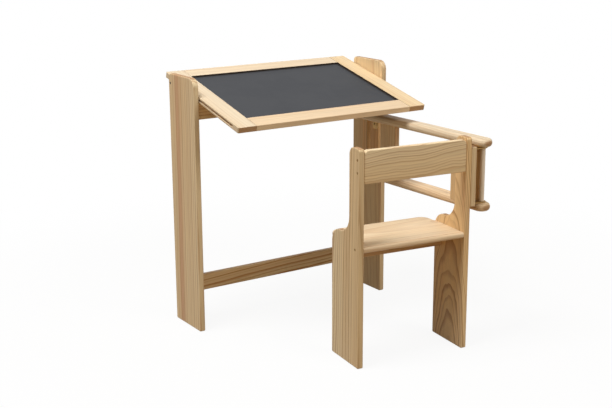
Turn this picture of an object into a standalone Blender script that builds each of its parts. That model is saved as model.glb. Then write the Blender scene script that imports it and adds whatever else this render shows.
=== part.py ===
"""Folding children's desk in pine: a tilting blackboard top between two plank legs,
and a small chair linked to the right leg by a swing arm of two round-ended boards.

X runs across the desk, the child sits on the -Y side, Z is up from the floor (metres).
"""

import math

import bmesh
import bpy
from mathutils import Vector

# Stock and clearances
PLANK_W = 0.145
PLANK_T = 0.016
GAP = 0.0003
RUN_GAP = 0.0006
EDGE_R = 0.0025
ARC_STEPS = 8
SHARP_ANGLE = math.radians(40)

# Desk
DESK_W = 0.650
DESK_Y = 0.2293
LEG_H = 0.720
LEG_FRONT_R = 0.025
LEG_BACK_R = 0.012
FOOT_R = 0.004
RAIL_H = 0.047
STRETCHER_Z = 0.098
APRON_SETBACK = 0.008

# Top, tilted about the pegs at the back of the legs
TOP_TILT = math.radians(13.65)
TOP_SIDE_GAP = 0.002
TOP_LENGTH = 0.416
TOP_BEHIND_PEG = 0.065
STILE_W = 0.055
FRONT_RAIL_W = 0.054
BACK_RAIL_W = 0.048
BOARD_T = 0.005
BOARD_RECESS = 0.005
BOARD_INSERT = 0.006
PEG_INSET = 0.009
PEG_DROP = 0.0268
PEG_R = 0.0035
SHOE_LENGTH = 0.018
SLOT_H = 0.007
SLOT_DEPTH = 0.009
SLOT_FRONT_STOP = 0.030
SLOT_BACK_ROOM = 0.012

# Swing arm, measured from its back pivot
PIVOT_TO_BATTEN = 0.0277
PIVOT_SETBACK = 0.006
ARM_YAW = math.radians(1.0)
ARM_LENGTH = 0.497
ARM_HALF_W = 0.0235
ARM_BOARD_T = 0.023
ARM_NOSE_R = 0.008
ARM_DROP = 0.1706
ARM_CLEAR = 0.1514
BACK_POST_W = 0.071
BACK_POST_START = 0.067
FRONT_POST_W = 0.0915
FRONT_POST_END = 0.0125
DOWEL_R = 0.0068
DOWEL_DEPTH = 0.012
BATTEN_W = 0.083
BATTEN_OVERHANG = 0.007
BRACKET_T = 0.0025
BRACKET_HALF_W = 0.0115
BRACKET_FLANGE = 0.030
BRACKET_SCREW_Y = 0.0062
BRACKET_SCREW_Z = 0.0165
BRACKET_SCREW_L = 0.0125

# Chair, measured from its left outer face and its rear edge
CHAIR_W = 0.3365
CHAIR_YAW = math.radians(-7.0)
CHAIR_H = 0.584
CHAIR_REAR = 0.0257
SHOULDER_Z = 0.353
SHOULDER_R = 0.040
NECK_R = 0.049
NECK_FRONT_R = 0.020
NECK_REAR_R = 0.009
NECK_D = 0.0517
PIVOT_TO_PLANK = 0.0366
SEAT_TOP = 0.328
SEAT_OVERHANG = 0.050
SEAT_CORNER_R = 0.030
SEAT_NOSE_R = 0.0065
SEAT_RAIL_SETBACK = 0.022
BACKREST_TOP = 0.579
BACKREST_H = 0.086
BACKREST_INSET = 0.001
BACKREST_R = 0.008
HINGE_PLANK_W = 0.098
HINGE_PLANK_LOW_LAP = 0.002
HINGE_PLANK_HIGH_LAP = 0.0076
SCREW_HEAD_R = 0.0033
SCREW_HEAD_H = 0.0022
SCREW_R = 0.002
SCREW_LENGTH = 0.034
SEAT_SCREW_INSET = 0.019
BACKREST_SCREW_INSET = 0.024
BACKREST_SCREW_PITCH = 0.033

# Places that follow from the sizes above
PEG_Y = PLANK_W / 2 - PEG_INSET
PEG_Z = LEG_H - PEG_DROP
BATTEN_X = DESK_W / 2 - PLANK_T - GAP - PLANK_T / 2
ARM_PIVOT_X = BATTEN_X - PLANK_T / 2 - PIVOT_TO_BATTEN
ARM_PIVOT_Y = PIVOT_SETBACK - PLANK_W / 2
ARM_UPPER_Z = LEG_H - ARM_DROP
ARM_LOWER_TOP = ARM_UPPER_Z - ARM_CLEAR
ARM_LOWER_Z = ARM_LOWER_TOP - ARM_BOARD_T
SEAT_FRONT = PLANK_W + SEAT_OVERHANG

# Turns an outline drawn in X and Y so that it stands in Y and Z, or in X and Z
STAND_YZ = (math.pi / 2, 0.0, math.pi / 2)
STAND_XZ = (math.pi / 2, 0.0, 0.0)

PINE = (0.62, 0.42, 0.22)
PINE_PALE = (0.72, 0.52, 0.30)
SLATE = (0.09, 0.09, 0.10)
STEEL = (0.55, 0.55, 0.57)


def clear_scene():
    for old in list(bpy.data.objects):
        bpy.data.objects.remove(old, do_unlink=True)


def new_collection(name):
    group = bpy.data.collections.new(name)
    bpy.context.scene.collection.children.link(group)
    return group


def principled(name, color, roughness=0.45, metallic=0.0):
    material = bpy.data.materials.new(name)
    material.use_nodes = True
    shader = material.node_tree.nodes["Principled BSDF"]
    shader.inputs["Base Color"].default_value = (*color, 1.0)
    shader.inputs["Roughness"].default_value = roughness
    shader.inputs["Metallic"].default_value = metallic
    return material


def empty(name, parent=None, location=(0, 0, 0), rotation=(0, 0, 0)):
    obj = bpy.data.objects.new(name, None)
    parts.objects.link(obj)
    obj.parent = parent
    obj.location = location
    obj.rotation_euler = rotation
    return obj


def place(name, mesh, parent, location, rotation=(0, 0, 0), color=PINE, metal=False):
    """A named piece with its own material."""
    obj = bpy.data.objects.new(name, mesh)
    parts.objects.link(obj)
    obj.parent = parent
    obj.location = location
    obj.rotation_euler = rotation
    mesh.materials.append(principled(name, color, 0.3 if metal else 0.45, 1.0 if metal else 0.0))
    mesh.shade_smooth()
    mesh.set_sharp_from_angle(angle=SHARP_ANGLE)
    return obj


def mesh_from(name, bm):
    mesh = bpy.data.meshes.new(name)
    bm.to_mesh(mesh)
    bm.free()
    return mesh


def box_mesh(name, size):
    bm = bmesh.new()
    bmesh.ops.create_cube(bm, size=1.0)
    bmesh.ops.scale(bm, vec=size, verts=bm.verts)
    return mesh_from(name, bm)


def rod_mesh(name, radius, length, segments=20):
    bm = bmesh.new()
    bmesh.ops.create_cone(bm, cap_ends=True, segments=segments, radius1=radius, radius2=radius, depth=length)
    return mesh_from(name, bm)


def fillet(corners):
    """Outline points of a polygon whose corners (x, y, radius) are rounded by arcs."""
    points = []
    count = len(corners)
    for i, (x, y, radius) in enumerate(corners):
        here = Vector((x, y))
        to_last = (Vector(corners[i - 1][:2]) - here).normalized()
        to_next = (Vector(corners[(i + 1) % count][:2]) - here).normalized()
        half_angle = to_last.angle(to_next) / 2
        center = here + (to_last + to_next).normalized() * (radius / math.sin(half_angle))
        start = here + to_last * (radius / math.tan(half_angle)) - center
        sweep = math.pi - 2 * half_angle
        turn = 1 if to_last.cross(to_next) < 0 else -1
        for step in range(ARC_STEPS + 1):
            angle = turn * sweep * step / ARC_STEPS
            c, s = math.cos(angle), math.sin(angle)
            points.append(center + Vector((c * start.x - s * start.y, s * start.x + c * start.y)))
    return points


def plate_mesh(name, corners, thickness):
    """A flat piece: a filled 2D curve with rounded corners, made a closed mesh."""
    curve = bpy.data.curves.new(name, "CURVE")
    curve.dimensions = "2D"
    curve.fill_mode = "BOTH"
    curve.extrude = thickness / 2
    points = fillet(corners)
    spline = curve.splines.new("POLY")
    spline.points.add(len(points) - 1)
    for target, point in zip(spline.points, points):
        target.co = (point.x, point.y, 0.0, 1.0)
    spline.use_cyclic_u = True
    holder = bpy.data.objects.new(name, curve)
    parts.objects.link(holder)
    graph = bpy.context.evaluated_depsgraph_get()
    mesh = bpy.data.meshes.new_from_object(holder.evaluated_get(graph))
    bpy.data.objects.remove(holder, do_unlink=True)
    bm = bmesh.new()
    bm.from_mesh(mesh)
    bmesh.ops.remove_doubles(bm, verts=bm.verts, dist=0.00002)
    bmesh.ops.dissolve_limit(bm, angle_limit=0.01, verts=bm.verts, edges=bm.edges)
    bmesh.ops.recalc_face_normals(bm, faces=bm.faces)
    bm.to_mesh(mesh)
    bm.free()
    return mesh


def round_edges(obj, radius=EDGE_R, segments=2):
    bevel = obj.modifiers.new("round_edges", "BEVEL")
    bevel.width = radius
    bevel.segments = segments
    bevel.limit_method = "ANGLE"
    bevel.angle_limit = SHARP_ANGLE
    return bevel


def cutter(name, mesh, parent, location, rotation=(0, 0, 0)):
    obj = bpy.data.objects.new(name, mesh)
    cutters.objects.link(obj)
    obj.parent = parent
    obj.location = location
    obj.rotation_euler = rotation
    obj.hide_render = True
    obj.display_type = "WIRE"
    return obj


def cut(obj, tool, operation="DIFFERENCE"):
    boolean = obj.modifiers.new(tool.name, "BOOLEAN")
    boolean.operation = operation
    boolean.object = tool
    boolean.solver = "EXACT"


def along_x(name, radius, length, parent, location):
    """A cutter for a round bore along X."""
    return cutter(name, rod_mesh(name, radius, length), parent, location, (0, math.pi / 2, 0))


def upright(name, radius, length, parent, location):
    """A cutter for an upright round bore."""
    return cutter(name, rod_mesh(name, radius, length), parent, location)


def make_legs():
    """Two plank legs, rounded at the top, each bored for its peg."""
    corners = [
        (-PLANK_W / 2, 0.0, FOOT_R),
        (PLANK_W / 2, 0.0, FOOT_R),
        (PLANK_W / 2, LEG_H, LEG_BACK_R),
        (-PLANK_W / 2, LEG_H, LEG_FRONT_R),
    ]
    for name, side in (("left_leg", -1), ("right_leg", 1)):
        mesh = plate_mesh(name, corners, PLANK_T)
        leg_x = side * (DESK_W - PLANK_T) / 2
        leg = place(name, mesh, desk, (leg_x, 0, 0), STAND_YZ)
        round_edges(leg)
        cut(leg, along_x(name + "_bore", PEG_R + GAP, 2 * PLANK_T, desk, (leg_x, PEG_Y, PEG_Z)))


def make_rails():
    """The stretcher near the floor and the apron that the top rests on."""
    inner_w = DESK_W - 2 * PLANK_T - 2 * GAP
    stretcher = place(
        "lower_stretcher",
        box_mesh("lower_stretcher", (inner_w, PLANK_T, RAIL_H)),
        desk,
        (0, 0, STRETCHER_Z + RAIL_H / 2),
    )
    round_edges(stretcher)
    apron_front = -PLANK_W / 2 + APRON_SETBACK
    underside = PEG_Z - (PEG_Y - apron_front) * math.tan(TOP_TILT) - PLANK_T / 2 / math.cos(TOP_TILT)
    apron = place(
        "apron",
        box_mesh("apron", (inner_w, PLANK_T, RAIL_H)),
        desk,
        (0, apron_front + PLANK_T / 2, underside - GAP - RAIL_H / 2),
    )
    round_edges(apron, EDGE_R / 2)


def make_top():
    """Stiles with grooved outer edges, rails between them, and the blackboard in an inner groove."""
    top_w = DESK_W - 2 * PLANK_T - 2 * TOP_SIDE_GAP
    front = TOP_BEHIND_PEG - TOP_LENGTH
    opening_w = top_w - 2 * STILE_W
    opening_front = front + FRONT_RAIL_W
    opening_back = TOP_BEHIND_PEG - BACK_RAIL_W
    opening_mid = (opening_front + opening_back) / 2
    opening_l = opening_back - opening_front
    board_z = PLANK_T / 2 - BOARD_RECESS - BOARD_T / 2
    board_size = (opening_w + 2 * BOARD_INSERT, opening_l + 2 * BOARD_INSERT, BOARD_T)
    groove_size = [size + 2 * GAP for size in board_size]
    board = place("blackboard", box_mesh("blackboard", board_size), top, (0, opening_mid, board_z), color=SLATE)
    round_edges(board, EDGE_R / 3, 1)
    groove = cutter("board_groove", box_mesh("board_groove", groove_size), top, (0, opening_mid, board_z))

    slot_front = front + SLOT_FRONT_STOP
    slot_size = (2 * SLOT_DEPTH, SLOT_BACK_ROOM - slot_front, SLOT_H)
    slot_mid = (SLOT_BACK_ROOM + slot_front) / 2
    for name, side in (("stile_left", -1), ("stile_right", 1)):
        size = (STILE_W - GAP, TOP_LENGTH, PLANK_T)
        center = (side * (top_w - STILE_W + GAP) / 2, front + TOP_LENGTH / 2, 0)
        stile = place(name, box_mesh(name, size), top, center, color=PINE_PALE)
        round_edges(stile, EDGE_R / 2)
        slot = cutter(name + "_slot", box_mesh(name + "_slot", slot_size), top, (side * top_w / 2, slot_mid, 0))
        cut(stile, slot)
        cut(stile, groove)
    for name, width, middle in (
        ("front_rail", FRONT_RAIL_W, front + FRONT_RAIL_W / 2),
        ("back_rail", BACK_RAIL_W, TOP_BEHIND_PEG - BACK_RAIL_W / 2),
    ):
        mesh = box_mesh(name, (opening_w - 2 * GAP, width, PLANK_T))
        rail = place(name, mesh, top, (0, middle, 0), color=PINE_PALE)
        round_edges(rail, EDGE_R / 2)
        cut(rail, groove)


def make_pegs():
    """A pin through each leg, with a shoe that slides in the stile's groove."""
    leg_outer = DESK_W / 2
    shoe_outer = leg_outer - PLANK_T - TOP_SIDE_GAP - GAP
    shoe_inner = shoe_outer - SLOT_DEPTH + 2 * GAP
    pin_length = leg_outer - GAP - shoe_inner
    for name, side in (("peg_left", -1), ("peg_right", 1)):
        mesh = rod_mesh(name, PEG_R, pin_length)
        pin_x = side * (leg_outer - GAP - pin_length / 2)
        peg = place(name, mesh, top, (pin_x, 0, 0), (0, math.pi / 2, 0), STEEL, True)
        shoe_size = (shoe_outer - shoe_inner, SHOE_LENGTH, SLOT_H - 2 * GAP)
        shoe_x = side * (shoe_outer + shoe_inner) / 2
        shoe = cutter(name + "_shoe", box_mesh(name + "_shoe", shoe_size), top, (shoe_x, 0, 0))
        cut(peg, shoe, "UNION")


def make_arm():
    """Two round-ended boards held apart by posts, with an upright dowel at each end as pivot."""
    end = ARM_LENGTH + ARM_HALF_W
    corners = [
        (-ARM_HALF_W, -end, ARM_HALF_W),
        (ARM_HALF_W, -end, ARM_HALF_W),
        (ARM_HALF_W, ARM_HALF_W, ARM_HALF_W),
        (-ARM_HALF_W, ARM_HALF_W, ARM_HALF_W),
    ]
    dowel_mid = (ARM_UPPER_Z + ARM_LOWER_TOP) / 2
    dowel_l = ARM_CLEAR + 2 * DOWEL_DEPTH
    bores = []
    for name, y in (("arm_back_dowel", 0.0), ("arm_front_dowel", -ARM_LENGTH)):
        dowel = place(name, rod_mesh(name, DOWEL_R, dowel_l), arm, (0, y, dowel_mid))
        round_edges(dowel, EDGE_R / 3, 1)
        bores.append(upright(name + "_bore", DOWEL_R + GAP, dowel_l + 2 * GAP, arm, (0, y, dowel_mid)))
    for name, z in (("arm_lower_board", ARM_LOWER_Z), ("arm_upper_board", ARM_UPPER_Z)):
        board = place(name, plate_mesh(name, corners, ARM_BOARD_T), arm, (0, 0, z + ARM_BOARD_T / 2))
        round_edges(board, ARM_NOSE_R, 3)
        for bore in bores:
            cut(board, bore)
    back_middle = BACK_POST_START + BACK_POST_W / 2
    front_middle = ARM_LENGTH - FRONT_POST_END - FRONT_POST_W / 2
    for name, width, middle in (
        ("arm_back_post", BACK_POST_W, back_middle),
        ("arm_front_post", FRONT_POST_W, front_middle),
    ):
        size = (PLANK_T, width, ARM_CLEAR - 2 * GAP)
        post = place(name, box_mesh(name, size), arm, (0, -middle, dowel_mid))
        round_edges(post)


def make_bracket(name, parent, reach, z, turn, flip, wood):
    """A steel angle: a round-ended leaf about the pivot dowel and a flange screwed to the wood."""
    half_t = BRACKET_T / 2
    leaf_end = -2 * BRACKET_HALF_W
    up = -1 if flip else 1
    corners = [
        (leaf_end, -half_t, 0.0),
        (reach, -half_t, BRACKET_T),
        (reach, BRACKET_FLANGE, 0.0),
        (reach - BRACKET_T, BRACKET_FLANGE, 0.0),
        (reach - BRACKET_T, half_t, half_t),
        (leaf_end, half_t, 0.0),
    ]
    mesh = plate_mesh(name, corners, 3 * BRACKET_HALF_W)
    bracket = place(name, mesh, parent, (0, 0, z), (up * math.pi / 2, 0.0, turn), STEEL, True)
    corners = [
        (-BRACKET_HALF_W, -BRACKET_HALF_W, BRACKET_HALF_W),
        (2 * reach, -BRACKET_HALF_W, 0.0),
        (2 * reach, BRACKET_HALF_W, 0.0),
        (-BRACKET_HALF_W, BRACKET_HALF_W, BRACKET_HALF_W),
    ]
    outline = plate_mesh(name + "_outline", corners, 3 * BRACKET_FLANGE)
    cut(bracket, cutter(name + "_outline", outline, parent, (0, 0, z), (0, 0, turn)), "INTERSECT")
    cut(bracket, upright(name + "_eye", DOWEL_R + GAP, 4 * BRACKET_T, parent, (0, 0, z)))

    toward = math.cos(turn)
    screw_z = z + up * BRACKET_SCREW_Z
    head_x = toward * (reach - BRACKET_T - SCREW_HEAD_H - GAP)
    for index, y in ((1, -BRACKET_SCREW_Y), (2, BRACKET_SCREW_Y)):
        screw_name = f"{name}_screw_{index}"
        make_screw(screw_name, parent, (head_x, y, screw_z), -toward, BRACKET_SCREW_L)
        bore_at = (toward * reach, y, screw_z)
        bore = along_x(screw_name + "_bore", SCREW_R + GAP, 2 * BRACKET_SCREW_L, parent, bore_at)
        cut(bracket, bore)
        cut(wood, bore)


def make_bracket_pair(prefix, parent, reach, turn, wood):
    low = ARM_LOWER_TOP + RUN_GAP + BRACKET_T / 2
    high = ARM_UPPER_Z - RUN_GAP - BRACKET_T / 2
    make_bracket(prefix + "_lower", parent, reach, low, turn, False, wood)
    make_bracket(prefix + "_upper", parent, reach, high, turn, True, wood)


def make_batten():
    """The batten on the right leg that carries the arm's brackets."""
    height = ARM_UPPER_Z + ARM_BOARD_T - ARM_LOWER_Z
    middle = (BATTEN_X, (BATTEN_W - PLANK_W) / 2 - BATTEN_OVERHANG, ARM_LOWER_Z + height / 2)
    batten = place("hinge_batten", box_mesh("hinge_batten", (PLANK_T, BATTEN_W, height)), desk, middle)
    round_edges(batten)
    make_bracket_pair("leg_bracket", arm_base, PIVOT_TO_BATTEN - GAP, 0.0, batten)


def make_chair_panels(bores):
    """The two shaped side panels: wide to the shoulder, narrow behind the backrest."""
    corners = [
        (0.0, 0.0, FOOT_R),
        (PLANK_W, 0.0, FOOT_R),
        (PLANK_W, SHOULDER_Z, SHOULDER_R),
        (NECK_D, SHOULDER_Z, NECK_R),
        (NECK_D, CHAIR_H, NECK_FRONT_R),
        (0.0, CHAIR_H, NECK_REAR_R),
    ]
    for name, x in (("chair_left_panel", PLANK_T / 2), ("chair_right_panel", CHAIR_W - PLANK_T / 2)):
        panel = place(name, plate_mesh(name, corners, PLANK_T), chair, (x, 0, 0), STAND_YZ)
        round_edges(panel)
        for bore in bores:
            cut(panel, bore)


def make_screw(name, parent, at, side, length):
    """A wood screw along X, its head facing -X for side -1 and +X for side 1."""
    bm = bmesh.new()
    stations = [
        (0.0, 0.0),
        (SCREW_HEAD_R, 0.0),
        (SCREW_HEAD_R, -SCREW_HEAD_H),
        (SCREW_R, -SCREW_HEAD_H),
        (SCREW_R, -length),
        (0.0, -length - SCREW_R),
    ]
    chain = [bm.verts.new((x, 0.0, height)) for x, height in stations]
    for first, second in zip(chain, chain[1:]):
        bm.edges.new((first, second))
    turn = (0, side * math.pi / 2, 0)
    screw = place(name, mesh_from(name, bm), parent, at, turn, STEEL, True)
    lathe = screw.modifiers.new("lathe", "SCREW")
    lathe.steps = 12
    lathe.render_steps = 12
    lathe.use_merge_vertices = True
    lathe.merge_threshold = 0.00001


def screw_bores(name, y, z):
    """Bores along X for a screw from each side: a wide one for the head, a slim one for the shank."""
    slim = SCREW_R + GAP
    wide = SCREW_HEAD_R + GAP
    depth = SCREW_HEAD_H + 2 * GAP
    bores = []
    shank_l = SCREW_LENGTH + 3 * SCREW_R
    for word, side, face_x in (("left", -1, 0.0), ("right", 1, CHAIR_W)):
        bores.append(along_x(f"{name}_{word}_shank", slim, 2 * shank_l, chair, (face_x, y, z)))
        bores.append(along_x(f"{name}_{word}_head", wide, 2 * depth, chair, (face_x, y, z)))
        make_screw(f"{name}_{word}", chair, (face_x - side * GAP, y, z), side, SCREW_LENGTH)
    return bores


def mark_seat_nose(mesh):
    """Marks the seat's rear edge and its rim ahead of the panels, which alone are rounded."""
    bm = bmesh.new()
    bm.from_mesh(mesh)
    geometry = bm.verts[:] + bm.edges[:] + bm.faces[:]
    bmesh.ops.bisect_plane(bm, geom=geometry, plane_co=(0, PLANK_W, 0), plane_no=(0, 1, 0))
    weight = bm.edges.layers.float.new("bevel_weight_edge")
    for edge in bm.edges:
        near = min(vert.co.y for vert in edge.verts)
        far = max(vert.co.y for vert in edge.verts)
        rim = edge.calc_face_angle() > SHARP_ANGLE
        flat = edge.verts[0].co.z == edge.verts[1].co.z
        if rim and flat and (near > PLANK_W - GAP or far < BACKREST_INSET + GAP):
            edge[weight] = 1.0
    bm.to_mesh(mesh)
    bm.free()


def make_chair():
    """Seat, rail and backrest held between the side panels by screws."""
    inner_left = PLANK_T + GAP
    inner_right = CHAIR_W - PLANK_T - GAP
    inner_w = inner_right - inner_left
    mid_x = CHAIR_W / 2
    seat_z = SEAT_TOP - PLANK_T / 2
    bores = screw_bores("seat_screw", SEAT_SCREW_INSET, seat_z)
    back_y = BACKREST_INSET + PLANK_T / 2
    for index in (0, 1):
        back_screw_z = BACKREST_TOP - BACKREST_SCREW_INSET - index * BACKREST_SCREW_PITCH
        bores += screw_bores(f"backrest_screw_{index + 1}", back_y, back_screw_z)
    make_chair_panels(bores)

    corners = [
        (inner_left, BACKREST_INSET, 0.0),
        (inner_right, BACKREST_INSET, 0.0),
        (inner_right, SEAT_FRONT, SEAT_CORNER_R),
        (inner_left, SEAT_FRONT, SEAT_CORNER_R),
    ]
    seat_mesh = plate_mesh("seat", corners, PLANK_T)
    mark_seat_nose(seat_mesh)
    seat = place("seat", seat_mesh, chair, (0, 0, seat_z), color=PINE_PALE)
    round_edges(seat, SEAT_NOSE_R, 3).limit_method = "WEIGHT"

    rail_z = SEAT_TOP - PLANK_T - GAP - RAIL_H / 2
    mesh = box_mesh("seat_rail", (inner_w, PLANK_T, RAIL_H))
    rail_y = PLANK_W - SEAT_RAIL_SETBACK - PLANK_T / 2
    rail = place("seat_rail", mesh, chair, (mid_x, rail_y, rail_z))
    round_edges(rail)

    low = BACKREST_TOP - BACKREST_H
    corners = [
        (inner_left, low, 0.0),
        (inner_right, low, 0.0),
        (inner_right, BACKREST_TOP, BACKREST_R),
        (inner_left, BACKREST_TOP, BACKREST_R),
    ]
    backrest = place("backrest", plate_mesh("backrest", corners, PLANK_T), chair, (0, back_y, 0), STAND_XZ)
    round_edges(backrest)
    for bore in bores:
        for piece, word in ((seat, "seat_screw"), (backrest, "backrest_screw")):
            if bore.name.startswith(word) and bore.name.endswith("shank"):
                cut(piece, bore)

    low = ARM_LOWER_TOP - HINGE_PLANK_LOW_LAP
    high = ARM_UPPER_Z + HINGE_PLANK_HIGH_LAP
    mesh = box_mesh("hinge_plank", (PLANK_T, HINGE_PLANK_W, high - low))
    plank_at = (CHAIR_W + GAP + PLANK_T / 2, HINGE_PLANK_W / 2, (low + high) / 2)
    plank = place("hinge_plank", mesh, chair, plank_at)
    round_edges(plank)
    make_bracket_pair("chair_bracket", chair_pivot, PIVOT_TO_PLANK - GAP, math.pi, plank)


clear_scene()
parts = new_collection("folding_childrens_desk")
cutters = new_collection("cutters")

desk = empty("desk", None, (0, DESK_Y, 0))
top = empty("top", desk, (0, PEG_Y, PEG_Z), (TOP_TILT, 0, 0))
arm_base = empty("arm_base", desk, (ARM_PIVOT_X, ARM_PIVOT_Y, 0))
arm = empty("arm", arm_base, (0, 0, 0), (0, 0, ARM_YAW))
chair_pivot = empty("chair_pivot", arm, (0, -ARM_LENGTH, 0), (0, 0, CHAIR_YAW - ARM_YAW))
chair = empty("chair", chair_pivot, (-PIVOT_TO_PLANK - PLANK_T - GAP - CHAIR_W, -CHAIR_REAR, 0))

make_legs()
make_rails()
make_batten()
make_top()
make_pegs()
make_arm()
make_chair()
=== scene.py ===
"""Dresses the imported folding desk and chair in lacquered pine, board paint and steel, in a white studio."""

import math

import bmesh
import bpy
from mathutils import Matrix, Vector


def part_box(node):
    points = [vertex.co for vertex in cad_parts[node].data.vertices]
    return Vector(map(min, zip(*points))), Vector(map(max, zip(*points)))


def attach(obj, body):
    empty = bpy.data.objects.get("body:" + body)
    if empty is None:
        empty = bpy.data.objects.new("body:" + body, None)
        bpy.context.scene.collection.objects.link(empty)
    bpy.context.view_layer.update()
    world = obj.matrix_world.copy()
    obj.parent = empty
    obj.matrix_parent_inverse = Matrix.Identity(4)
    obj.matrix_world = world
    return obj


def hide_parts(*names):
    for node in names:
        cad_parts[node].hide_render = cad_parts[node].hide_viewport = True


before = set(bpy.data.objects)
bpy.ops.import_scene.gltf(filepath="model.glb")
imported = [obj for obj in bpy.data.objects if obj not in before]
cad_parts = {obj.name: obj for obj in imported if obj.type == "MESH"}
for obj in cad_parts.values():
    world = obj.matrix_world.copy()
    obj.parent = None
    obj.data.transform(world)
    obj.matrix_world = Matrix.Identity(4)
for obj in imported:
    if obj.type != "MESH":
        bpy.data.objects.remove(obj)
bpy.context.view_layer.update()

# Camera: it stands to the left in front of the desk, a little above the top, with a short telephoto
# lens, so that the chair is seen from behind and the blackboard from its left corner.
CAMERA_AT = (-1.737, -2.5307, 1.165)
CAMERA_TURN = math.radians(-33.40)
CAMERA_DOWN = math.radians(14.68)
CAMERA_ROLL = math.radians(-0.296)
CAMERA_LENS_MM = 66.75
CAMERA_SENSOR_MM = 36

bpy.ops.object.select_all(action="DESELECT")
bpy.ops.object.camera_add(location=CAMERA_AT)
camera = bpy.context.object
camera.name = "camera"
camera.data.lens = CAMERA_LENS_MM
camera.data.sensor_width = CAMERA_SENSOR_MM
camera.matrix_world = (
    Matrix.Translation(CAMERA_AT)
    @ Matrix.Rotation(CAMERA_TURN, 4, "Z")
    @ Matrix.Rotation(math.pi / 2 - CAMERA_DOWN, 4, "X")
    @ Matrix.Rotation(CAMERA_ROLL, 4, "Z")
)
bpy.context.scene.camera = camera
bpy.context.scene.view_settings.view_transform = "Standard"

# Studio: a white paper floor and backdrop without an edge, one softbox high on the left and a weaker,
# warmer one in front. The paper shows white to the camera and in reflections, and keeps a faint shadow.
FLOOR_SIZE = 60.0
FLOOR_Z = -0.0004
PAPER_WHITE = "#F2F2F2"
PAPER_GLOW = 0.92
BOUNCE_TONE = "#9C8768"
SHADOW_REACH = (0.7, 1.8)
AMBIENT = 0.24
AMBIENT_TONE = "#F6ECDC"
LAMP_AIM = (0.0, 0.0, 0.4)


def linear(shade):
    """An sRGB hex colour as linear red, green, blue and alpha."""
    channels = [int(shade[at : at + 2], 16) / 255 for at in (1, 3, 5)]
    return [c / 12.92 if c <= 0.04045 else ((c + 0.055) / 1.055) ** 2.4 for c in channels] + [1.0]


def add_node(tree, kind, sockets=None, **settings):
    """Adds a node with its settings, and fills its sockets with values or with links."""
    made = tree.nodes.new(kind)
    for name, value in settings.items():
        setattr(made, name, value)
    for name, value in (sockets or {}).items():
        if isinstance(value, bpy.types.NodeSocket):
            tree.links.new(value, made.inputs[name])
        else:
            made.inputs[name].default_value = value
    return made


def new_finish(name):
    """A new material, with its node tree and its shader."""
    made = bpy.data.materials.new(name)
    made.use_nodes = True
    return made, made.node_tree, made.node_tree.nodes["Principled BSDF"]


def seen_directly(tree):
    """1 for what the camera sees itself, in a reflection or through glass, and 0 for light that bounces."""
    path = add_node(tree, "ShaderNodeLightPath").outputs
    shiny = add_node(
        tree,
        "ShaderNodeMath",
        {0: path["Is Glossy Ray"], 1: path["Is Transmission Ray"]},
        operation="MAXIMUM",
    )
    both = add_node(
        tree,
        "ShaderNodeMath",
        {0: path["Is Camera Ray"], 1: shiny.outputs[0]},
        operation="MAXIMUM",
    )
    return both.outputs[0]


bpy.ops.object.select_all(action="DESELECT")
bpy.ops.mesh.primitive_grid_add(
    x_subdivisions=2, y_subdivisions=2, size=FLOOR_SIZE, location=(0, 0, FLOOR_Z)
)
floor = bpy.context.object
floor.name = "studio_floor"

# Uncoated paper is dead matt and scatters light evenly. It gives the eye plain white, with a soft grey
# where the desk and the chair keep the light off. The light that it throws back up is dim and warm.
paper, tree, shader = new_finish("matt_white_background_paper")
tree.nodes.remove(shader)
to_camera = seen_directly(tree)
paper_tone = add_node(
    tree,
    "ShaderNodeMix",
    {0: to_camera, 6: linear(BOUNCE_TONE), 7: linear(PAPER_WHITE)},
    data_type="RGBA",
)
lit = add_node(tree, "ShaderNodeBsdfDiffuse", {"Color": paper_tone.outputs[2]})
glow = add_node(tree, "ShaderNodeEmission", {"Color": linear("#FFFFFF"), "Strength": 1.0})
spot = add_node(tree, "ShaderNodeTexCoord").outputs["Object"]
away = add_node(tree, "ShaderNodeVectorMath", {0: spot}, operation="LENGTH")
fade = add_node(
    tree,
    "ShaderNodeMapRange",
    {
        "Value": away.outputs["Value"],
        "From Min": SHADOW_REACH[0],
        "From Max": SHADOW_REACH[1],
        "To Min": PAPER_GLOW,
        "To Max": 1.0,
    },
    interpolation_type="SMOOTHSTEP",
)
share = add_node(tree, "ShaderNodeMath", {0: to_camera, 1: fade.outputs[0]}, operation="MULTIPLY")
sheet = add_node(
    tree, "ShaderNodeMixShader", {0: share.outputs[0], 1: lit.outputs[0], 2: glow.outputs[0]}
)
tree.links.new(sheet.outputs[0], tree.nodes["Material Output"].inputs["Surface"])
floor.data.materials.append(paper)

world = bpy.data.worlds.new("white_studio")
world.use_nodes = True
bpy.context.scene.world = world
tree = world.node_tree
dim = tree.nodes["Background"]
dim.inputs["Color"].default_value = linear(AMBIENT_TONE)
dim.inputs["Strength"].default_value = AMBIENT
white = add_node(tree, "ShaderNodeBackground", {"Color": linear("#FFFFFF"), "Strength": 1.0})
backdrop = add_node(
    tree,
    "ShaderNodeMixShader",
    {0: seen_directly(tree), 1: dim.outputs[0], 2: white.outputs[0]},
)
tree.links.new(backdrop.outputs[0], tree.nodes["World Output"].inputs["Surface"])

for name, at, size, power, tint in (
    ("left_softbox", (-2.11, 0.0, 4.93), 2.0, 200.0, "#FFFFFF"),
    ("front_softbox", (0.95, -3.56, 2.98), 1.8, 54.0, "#FFFBF5"),
):
    bpy.ops.object.light_add(type="AREA", location=at)
    lamp = bpy.context.object
    lamp.name = name
    lamp.data.size = size
    lamp.data.energy = power
    lamp.data.color = linear(tint)[:3]
    lamp.rotation_euler = (Vector(LAMP_AIM) - Vector(at)).to_track_quat("-Z", "Y").to_euler()

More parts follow.
